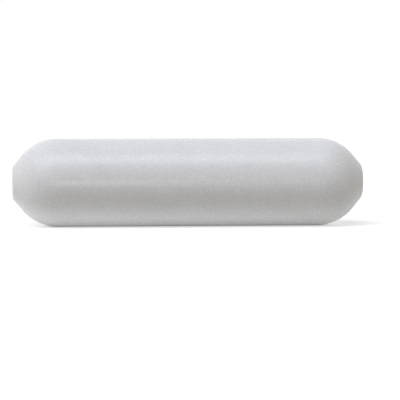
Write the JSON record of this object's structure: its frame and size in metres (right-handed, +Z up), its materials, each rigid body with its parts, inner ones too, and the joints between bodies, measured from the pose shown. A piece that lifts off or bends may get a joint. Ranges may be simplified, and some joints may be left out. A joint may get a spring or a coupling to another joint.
{
  "type": "magnetic stir bar",
  "caption": "Smooth white PTFE stir bar: a straight round middle, domed ends with small flat tips, and a bar magnet sealed inside.",
  "frame": {"origin": "centre of the bar, on its axis and halfway between the tips", "axes": "+X along the bar's axis, +Z up as it lies; the two ends are alike"},
  "size_m": [0.0382, 0.0096, 0.0096],
  "materials": {
    "ptfe": "white moulded PTFE, satin and slightly waxy, with a very fine grain",
    "magnet_alloy": "dull grey cast aluminium-nickel-cobalt magnet alloy"
  },
  "bodies": {
    "root": {"ptfe_jacket": "ptfe", "magnet_core": "magnet_alloy"}
  },
  "joints": []
}
